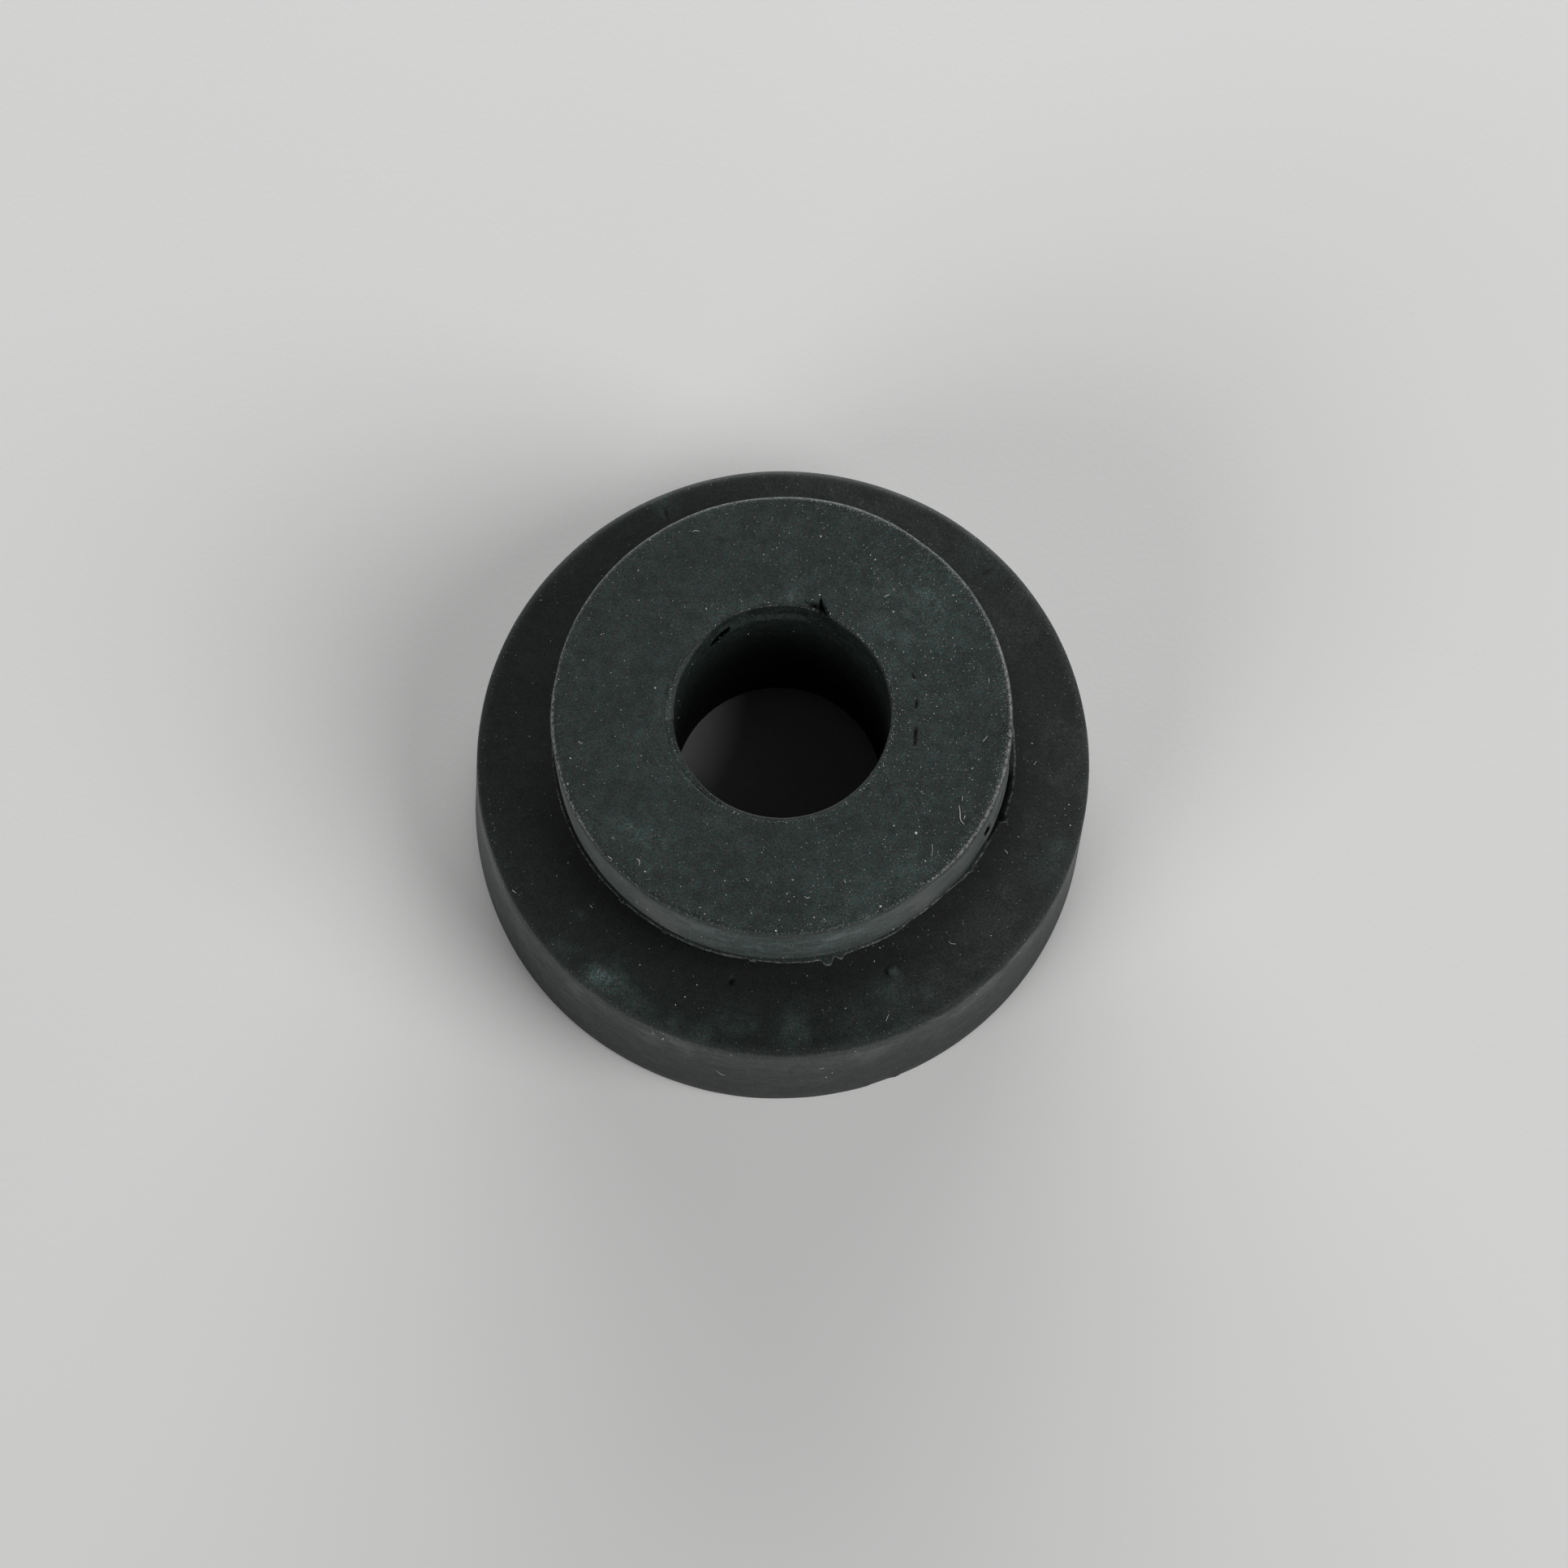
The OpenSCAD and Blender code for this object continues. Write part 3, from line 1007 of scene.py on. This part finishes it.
def add_fibre(vertices, faces, spots, width):
    """A thin closed tube along points and normals on the rubber, just clear of it in the middle."""
    points = soften([point for point, _ in spots])
    normal = spots[0][1]
    first = len(vertices)
    for i, point in enumerate(points):
        t = i / (len(points) - 1)
        ahead = (points[min(i + 1, len(points) - 1)] - points[max(i - 1, 0)]).normalized()
        side = ahead.cross(normal).normalized()
        radius = width / 2 * (0.3 + 0.5 * math.sin(math.pi * t))
        centre = point + normal * (radius * 0.6 + 0.05 * math.sin(math.pi * t))
        for k in range(FIBRE_SIDES):
            turn = 2 * math.pi * k / FIBRE_SIDES
            vertices.append(centre + (side * math.cos(turn) + normal * math.sin(turn)) * radius)
    for i in range(len(points) - 1):
        low = first + i * FIBRE_SIDES
        for k in range(FIBRE_SIDES):
            right = (k + 1) % FIBRE_SIDES
            faces.append((low + k, low + right, low + FIBRE_SIDES + right, low + FIBRE_SIDES + k))
    last = len(vertices) - FIBRE_SIDES
    faces.append(tuple(range(first + FIBRE_SIDES - 1, first - 1, -1)))
    faces.append(tuple(range(last, last + FIBRE_SIDES)))


# ---------------------------------------------------------------- node helpers

class Graph:
    """Places nodes in one tree and joins them."""

    def __init__(self, tree):
        self.tree = tree

    def node(self, kind, inputs=None, **settings):
        """A node with its settings made and its inputs set or joined."""
        made = self.tree.nodes.new(kind)
        for name, value in settings.items():
            setattr(made, name, value)
        for name, value in (inputs or {}).items():
            self.feed(made.inputs[name], value)
        return made

    def feed(self, socket, value):
        """Joins an output to a socket, or sets the socket's own value."""
        if isinstance(value, bpy.types.NodeSocket):
            self.tree.links.new(value, socket)
        else:
            socket.default_value = value

    def math(self, operation, a, b=0.0):
        """Result of one sum."""
        return self.node("ShaderNodeMath", {0: a, 1: b}, operation=operation).outputs[0]

    def plus(self, a, b):
        """Two values added."""
        return self.math("ADD", a, b)

    def times(self, first, *others):
        """Values multiplied together."""
        for other in others:
            first = self.math("MULTIPLY", first, other)
        return first

    def line(self, value, gain, base):
        """A value times a gain, plus a base."""
        return self.plus(self.times(value, gain), base)

    def inverse(self, value):
        """One over a value."""
        return self.math("DIVIDE", 1.0, value)

    def scale(self, vector, by):
        """A vector times three numbers."""
        made = self.node("ShaderNodeVectorMath", {0: vector, 1: by}, operation="MULTIPLY")
        return made.outputs["Vector"]

    def noise(self, vector, scale, detail=2.0, rough=0.5, warp=0.0):
        """Cloudy noise from 0 to 1."""
        return self.node(
            "ShaderNodeTexNoise",
            {"Vector": vector, "Scale": scale, "Detail": detail, "Roughness": rough,
             "Distortion": warp},
        ).outputs["Fac"]

    def ramp(self, value, low, high, start=0.0, end=1.0):
        """A smooth rise from start at low to end at high."""
        return self.node(
            "ShaderNodeMapRange",
            {"Value": value, "From Min": low, "From Max": high, "To Min": start, "To Max": end},
            interpolation_type="SMOOTHSTEP",
        ).outputs["Result"]

    def mix(self, factor, a, b):
        """Colour a going over to colour b."""
        made = self.node(
            "ShaderNodeMix", {"Factor": factor, 6: a, 7: b}, data_type="RGBA", clamp_factor=True,
        )
        return made.outputs[2]

    def attribute(self, name):
        """A number stored on the mesh."""
        return self.node("ShaderNodeAttribute", attribute_name=name).outputs["Fac"]

    def millimetres(self):
        """Place on the object, in millimetres."""
        place = self.node("ShaderNodeTexCoord").outputs["Object"]
        return self.scale(place, (1 / MM,) * 3)


def new_group(name, outputs, **numbers):
    """An empty node group that takes a place and some numbers, and gives numbers."""
    tree = bpy.data.node_groups.new(name, "ShaderNodeTree")
    tree.interface.new_socket("Place", in_out="INPUT", socket_type="NodeSocketVector")
    for socket, default in numbers.items():
        made = tree.interface.new_socket(socket, in_out="INPUT", socket_type="NodeSocketFloat")
        made.default_value = default
    for socket in outputs:
        tree.interface.new_socket(socket, in_out="OUTPUT", socket_type="NodeSocketFloat")
    graph = Graph(tree)
    ends = graph.node("NodeGroupInput"), graph.node("NodeGroupOutput")
    return graph, ends[0].outputs, ends[1].inputs


def build_haze(name):
    """Cloudy patches with soft, broken edges."""
    graph, given, out = new_group(name, ["Mask"], Size=4.0, Cover=0.5)
    clouds = graph.noise(given["Place"], graph.inverse(given["Size"]), 6.0, 0.62, 0.6)
    low = graph.line(given["Cover"], -0.3, 0.62)
    graph.feed(out["Mask"], graph.ramp(clouds, low, graph.plus(low, 0.16)))
    return graph.tree


def build_specks(name):
    """Scattered round dots, each of its own size, that thin out as Cover falls."""
    graph, given, out = new_group(name, ["Mask"], Spacing=0.3, Size=0.03, Cover=0.5)
    scale = graph.inverse(given["Spacing"])
    cells = graph.node("ShaderNodeTexVoronoi", {"Vector": given["Place"], "Scale": scale})
    away = graph.times(cells.outputs["Distance"], given["Spacing"])
    chance = graph.node("ShaderNodeSeparateColor", {"Color": cells.outputs["Color"]}).outputs
    radius = graph.times(given["Size"], graph.plus(chance["Red"], 0.4))
    dot = graph.ramp(away, graph.times(radius, 0.5), radius, 1.0, 0.0)
    chosen = graph.math("LESS_THAN", chance["Green"], given["Cover"])
    graph.feed(out["Mask"], graph.times(dot, chosen))
    return graph.tree


def build_grain(name):
    """Fine matt grain of a moulded skin, and its mottling."""
    graph, given, out = new_group(name, ["Height", "Mottle", "Tint"], Size=0.12)
    place, scale = given["Place"], graph.inverse(given["Size"])
    graph.feed(out["Height"], graph.noise(place, scale, 3.0, 0.6))
    graph.feed(out["Mottle"], graph.noise(place, graph.times(scale, 0.16), 4.0, 0.6))
    other = graph.node("ShaderNodeVectorMath", {0: place, 1: (37, 11, 23)}, operation="ADD")
    graph.feed(out["Tint"], graph.noise(other.outputs["Vector"], graph.times(scale, 0.7)))
    return graph.tree


def build_streaks(name):
    """Fine lines that run round the axis on a wall."""
    graph, given, out = new_group(name, ["Mask"], Pitch=0.3)
    stretched = graph.scale(given["Place"], (0.14, 0.14, 1.0))
    graph.feed(out["Mask"], graph.noise(stretched, graph.inverse(given["Pitch"]), 4.0, 0.62))
    return graph.tree


def build_scuff(name):
    """Scuffs and painted highlights broken up by fine noise, so that an edge is rubbed and lit in places.
    """
    graph, given, out = new_group(name, ["Mask"], Wear=0.0, Size=0.4)
    noisy = graph.noise(given["Place"], graph.inverse(given["Size"]), 4.0, 0.65)
    graph.feed(out["Mask"], graph.times(given["Wear"], graph.ramp(noisy, 0.35, 0.75)))
    return graph.tree


GROUPS = {
    "Haze": build_haze, "Specks": build_specks, "Moulded grain": build_grain,
    "Wall streaks": build_streaks, "Edge scuff": build_scuff,
}


def use_group(graph, name, inputs):
    """Outputs of a node group placed in a material. Its first use builds it."""
    tree = bpy.data.node_groups.get(name) or GROUPS[name](name)
    return graph.node("ShaderNodeGroup", inputs, node_tree=tree).outputs


# ---------------------------------------------------------------- materials

def new_material(name):
    """A material with a graph and its Principled shader."""
    made = bpy.data.materials.new(name)
    made.use_nodes = True
    made.node_tree.nodes.clear()
    graph = Graph(made.node_tree)
    shader = graph.node("ShaderNodeBsdfPrincipled")
    graph.node("ShaderNodeOutputMaterial", {"Surface": shader.outputs["BSDF"]})
    return made, graph, shader.inputs


def rgba(triple, gain=1.0):
    """A colour setting as a socket's four numbers."""
    return (*(gain * part for part in triple), 1.0)


def rubber_material(name, clean, sheen, finish):
    """Black moulded rubber with greenish bloom, streaked walls, scuffed edges and fine dust. The masks
    for haze, grey film and scuffs also lay on painted light, shade and highlights.
    """
    made, graph, shader = new_material(name)
    place = graph.millimetres()
    normal = graph.node("ShaderNodeNewGeometry").outputs["Normal"]
    upright = graph.math("ABSOLUTE", graph.node("ShaderNodeSeparateXYZ", {0: normal}).outputs["Z"])
    wall = graph.ramp(upright, 0.75, 0.25)

    grain = use_group(graph, "Moulded grain", {"Place": place, "Size": 0.12})
    cover = finish.bloom_cover
    clouds = use_group(graph, "Haze", {"Place": place, "Size": 4.0, "Cover": cover})["Mask"]
    wisps = use_group(graph, "Haze", {"Place": place, "Size": 1.6, "Cover": 0.6})["Mask"]
    streaks = use_group(graph, "Wall streaks", {"Place": place, "Pitch": 0.35})["Mask"]

    bloom = graph.attribute("bloom")
    fleck = graph.ramp(grain["Height"], 0.33, 0.67)
    streak = graph.times(graph.ramp(streaks, 0.38, 0.66), wall)
    torn = graph.times(graph.plus(wisps, -0.5), graph.ramp(bloom, 0.4, 0.9, 0.25, 1))
    wispy = graph.line(torn, graph.line(wall, -0.75, 1), 1)
    lined = graph.plus(graph.times(streak, 0.4), graph.line(wall, -0.2, 1))
    patchy = graph.ramp(grain["Mottle"], 0.35, 0.65, 0.82, 1.18)
    cloudy, flecked = graph.line(clouds, 0.2, 0.9), graph.plus(fleck, 0.5)
    # The haze amount, with the painted shade and the lump's painted highlight in it.
    haze = graph.times(bloom, cloudy, wispy, flecked, lined, patchy)
    mottle = graph.times(graph.plus(grain["Mottle"], fleck), 0.5)
    mottled = graph.mix(mottle, rgba(clean, 0.35), rgba(clean, 1.65))
    tint = graph.ramp(grain["Tint"], 0.35, 0.65)
    bloomy = graph.mix(tint, rgba(finish.grey_bloom), rgba(finish.bloom))
    hazy = graph.mix(haze, mottled, bloomy)
    hazy = graph.mix(graph.ramp(haze, 0.9, 1.9), hazy, rgba(finish.pale_bloom))

    # Grey film: dust, with the painted light and shade that its mask lays on.
    film = graph.times(
        graph.attribute("film"), graph.line(streak, 0.7, 0.6), graph.line(fleck, 0.9, 0.55),
        graph.line(clouds, 0.7, 0.65),
    )
    with_film_and_shading = graph.mix(film, hazy, rgba(finish.film))
    # Pale scuffs, and the painted highlights along the rim and the flash's edge.
    wear = {"Place": place, "Wear": graph.attribute("wear"), "Size": 0.2}
    worn = graph.mix(use_group(graph, "Edge scuff", wear)["Mask"], with_film_and_shading, rgba(finish.wear))
    cover = graph.times(graph.attribute("dust"), 0.5)
    fine = {"Place": place, "Spacing": 0.16, "Size": 0.035, "Cover": cover}
    specks = use_group(graph, "Specks", fine)["Mask"]
    dusty = graph.mix(graph.times(specks, 0.5), worn, rgba(finish.dust, 0.6))
    graph.feed(shader["Base Color"], dusty)

    rough = graph.ramp(grain["Mottle"], 0.3, 0.7, finish.roughness - 0.05, finish.roughness + 0.05)
    graph.feed(shader["Roughness"], rough)
    shader["Specular IOR Level"].default_value = finish.gloss
    shader["Sheen Weight"].default_value = sheen
    shader["Sheen Roughness"].default_value = 0.3
    height = graph.plus(grain["Height"], graph.times(streaks, wall, 0.6))
    bump = graph.node("ShaderNodeBump", {"Strength": 0.35, "Distance": 0.02 * MM, "Height": height})
    graph.feed(shader["Normal"], bump.outputs["Normal"])
    return made


def speck_material(name, tint):
    """Dust or lint: pale and matt, a little different from speck to speck."""
    made, graph, shader = new_material(name)
    place = graph.millimetres()
    shade = graph.noise(place, 0.9, 2.0)
    graph.feed(shader["Base Color"], graph.mix(shade, rgba(tint, 0.55), rgba(tint)))
    graph.feed(shader["Roughness"], graph.ramp(shade, 0.3, 0.7, 0.75, 0.95))
    return made


def floor_material(stage):
    """Matt pale paper with the faintest unevenness."""
    made, graph, shader = new_material("floor_paper")
    place = graph.millimetres()
    uneven = graph.noise(place, 0.012, 4.0, 0.55)
    graph.feed(shader["Base Color"], graph.mix(uneven, rgba(stage.floor, 0.97), rgba(stage.floor, 1.03)))
    shader["Roughness"].default_value = 0.9
    shader["Specular IOR Level"].default_value = 0.2
    tooth = graph.noise(place, 2.5, 3.0, 0.6)
    bump = graph.node("ShaderNodeBump", {"Strength": 0.15, "Distance": 0.05 * MM, "Height": tooth})
    graph.feed(shader["Normal"], bump.outputs["Normal"])
    return made


# ---------------------------------------------------------------- operators

def attach(piece):
    """The piece rides on the grommet's body."""
    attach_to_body(piece, BODY)


class GROMMET_OT_stage(bpy.types.Operator):
    """Lay the floor and set the lights and the camera"""

    bl_idname = "grommet.stage"
    bl_label = "Stage"

    def execute(self, context):
        stage = context.scene.grommet_stage
        bpy.ops.mesh.primitive_plane_add(size=FLOOR_SIZE)
        floor = context.object
        floor.name = "floor"
        floor.data.materials.append(floor_material(stage))
        self.add_camera(context.scene, stage)
        self.add_lights(context.scene, stage)
        context.scene.view_settings.view_transform = "Standard"
        return {"FINISHED"}

    def add_camera(self, scene, stage):
        """Camera above the front of the grommet, looking down into the bore."""
        data = bpy.data.cameras.new("camera")
        data.lens, data.sensor_width = stage.lens, SENSOR_WIDTH
        data.clip_start, data.clip_end = 10 * MM, 10
        camera = bpy.data.objects.new("camera", data)
        tilt = stage.camera_elevation
        back = Vector((0, -math.cos(tilt), math.sin(tilt)))
        camera.location = Vector(stage.camera_target) + back * stage.camera_distance
        camera.rotation_mode = "QUATERNION"
        roll = Quaternion((0, 0, 1), stage.camera_roll)
        camera.rotation_quaternion = (-back).to_track_quat("-Z", "Y") @ roll
        scene.collection.objects.link(camera)
        scene.camera = camera

    def add_lights(self, scene, stage):
        """Soft boxes at the front right and front left, a low strip behind, and the dim room."""
        self.add_panel(scene, "key_light", 335, 42, 1.0, (0.65, 0.74), stage.key_power)
        self.add_panel(scene, "side_light", 225, 30, 1.0, (0.6, 0.6), stage.side_power)
        self.add_panel(scene, "back_light", 90, 12, 0.6, (0.9, 0.2), stage.back_power)
        world = bpy.data.worlds.new("room")
        world.use_nodes = True
        world.node_tree.nodes["Background"].inputs["Strength"].default_value = stage.room
        world.node_tree.nodes["Background"].inputs["Color"].default_value = (1, 1, 1, 1)
        scene.world = world

    def add_panel(self, scene, name, angle, elevation, reach, size, watts):
        """A light panel that faces the grommet from an angle and elevation. Sizes are in metres."""
        data = bpy.data.lights.new(name, "AREA")
        data.shape = "ELLIPSE"
        data.size, data.size_y = size
        data.energy = watts
        panel = bpy.data.objects.new(name, data)
        turn, lift = math.radians(angle), math.radians(elevation)
        away = Vector((math.cos(turn) * math.cos(lift), math.sin(turn) * math.cos(lift), math.sin(lift)))
        panel.location = away * reach
        panel.rotation_mode = "QUATERNION"
        panel.rotation_quaternion = away.to_track_quat("Z", "Y")
        scene.collection.objects.link(panel)


class GROMMET_OT_body(bpy.types.Operator):
    """Build the moulded rubber grommet"""

    bl_idname = "grommet.body"
    bl_label = "Rubber body"

    def execute(self, context):
        section = Section(context.scene.grommet_sizes)
        finish = context.scene.grommet_finish
        vertices, faces, places = body_mesh(section)
        # The second material is a darker copy of the rubber without sheen, painted shade for the deep
        # bore.
        body = make_object(
            BODY_PIECE, vertices, faces,
            rubber_material("rubber", finish.rubber, finish.sheen, finish),
            rubber_material("bore_rubber", finish.bore, 0, finish),
        )
        body.data.set_sharp_from_angle(angle=math.radians(50))
        # Faces wholly inside the bore take the darker copy, the painted shade.
        in_bore = [all(places[corner][0] == "bore" for corner in face) for face in faces]
        body.data.polygons.foreach_set("material_index", in_bore)
        # Haze and film are taken out of gouges and cracks, painting them darker as painted shade.
        outside_hollows = [bared_and_shaded(*place, section) for place in places]
        # The haze and grey film amounts hold painted light and shade as well as bloom and dust.
        haze = [bloom_and_shading_at(*place, vertex, section) for place, vertex in zip(places, vertices)]
        film = [film_and_shading_at(*place, section) for place in places]
        paint(body.data, "bloom", [amount * left for amount, left in zip(haze, outside_hollows)])
        paint(body.data, "film", [amount * left for amount, left in zip(film, outside_hollows)])
        paint(body.data, "wear", [wear_and_highlight_at(*place, section) for place in places])
        paint(body.data, "dust", [dust_at(*place, section) for place in places])
        attach(body)
        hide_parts(NODE)
        return {"FINISHED"}


class GROMMET_OT_lint(bpy.types.Operator):
    """Lay the lint fibres on the rubber"""

    bl_idname = "grommet.lint"
    bl_label = "Lint fibres"

    def execute(self, context):
        surface = Surface(Section(context.scene.grommet_sizes))
        vertices, faces = [], []
        for face, fibres in FIBRES.items():
            for width, *places in fibres:
                add_fibre(vertices, faces, [surface.find(face, place) for place in places], width)
        material = speck_material("lint", context.scene.grommet_finish.lint)
        attach(make_object("lint_fibres", vertices, faces, material))
        return {"FINISHED"}


class GROMMET_OT_dust(bpy.types.Operator):
    """Scatter crumbs and dust specks over the rubber"""

    bl_idname = "grommet.dust"
    bl_label = "Dust specks"

    def execute(self, context):
        section = Section(context.scene.grommet_sizes)
        surface = Surface(section)
        rng = random.Random(context.scene.grommet_finish.dust_seed)
        vertices, faces = [], []
        for face, crumbs in CRUMBS.items():
            for *place, size in crumbs:
                add_crumb(vertices, faces, *surface.find(face, place), size, rng)
        for fall in DUST_FALLS:
            for _ in range(fall.count):
                place, chance = self.drop(fall, surface, rng)
                if rng.random() < chance:
                    size = SMALLEST_SPECK + fall.spread * rng.random() ** 3
                    add_crumb(vertices, faces, *surface.find(fall.face, place), size, rng)
        material = speck_material("dust", context.scene.grommet_finish.dust)
        attach(make_object("dust_specks", vertices, faces, material, smooth=False))
        return {"FINISHED"}

    def drop(self, fall, surface, rng):
        """A random place on a face, and the chance that a speck has settled there."""
        angle = rng.uniform(0, 360)
        if fall.face in FLAT_BANDS:
            r, z = math.sqrt(rng.uniform(fall.low ** 2, fall.high ** 2)), 0
            place = flat(angle, r)
        else:
            z = rng.uniform(fall.low, fall.high)
            r = surface.section.wall_r(fall.face, z)
            place = angle, z
        return place, dust_at(fall.face, angle, r, z, surface.section)


class GROMMET_PT_sidebar(bpy.types.Panel):
    """Sizes, colours and build buttons"""

    bl_idname = "GROMMET_PT_sidebar"
    bl_label = "Rubber Grommet"
    bl_space_type = "VIEW_3D"
    bl_region_type = "UI"
    bl_category = "Grommet"

    def draw(self, context):
        for settings in SETTINGS:
            box = self.layout.box()
            box.label(text=settings)
            group_of = getattr(context.scene, settings)
            for name in group_of.__annotations__:
                box.prop(group_of, name)
        for operator in OPERATORS:
            self.layout.operator(operator.bl_idname)


SETTINGS = {
    "grommet_sizes": GrommetSizes,
    "grommet_finish": GrommetFinish,
    "grommet_stage": GrommetStage,
}
OPERATORS = [GROMMET_OT_stage, GROMMET_OT_body, GROMMET_OT_lint, GROMMET_OT_dust]


def register():
    for kind in [*SETTINGS.values(), *OPERATORS, GROMMET_PT_sidebar]:
        bpy.utils.register_class(kind)
    for name, kind in SETTINGS.items():
        setattr(bpy.types.Scene, name, bpy.props.PointerProperty(type=kind))


def unregister():
    for name in SETTINGS:
        delattr(bpy.types.Scene, name)
    for kind in reversed([*SETTINGS.values(), *OPERATORS, GROMMET_PT_sidebar]):
        bpy.utils.unregister_class(kind)


def main():
    """Builds everything."""
    register()
    bpy.ops.grommet.stage()
    bpy.ops.grommet.body()
    bpy.ops.grommet.lint()
    bpy.ops.grommet.dust()


if __name__ == "__main__":
    main()
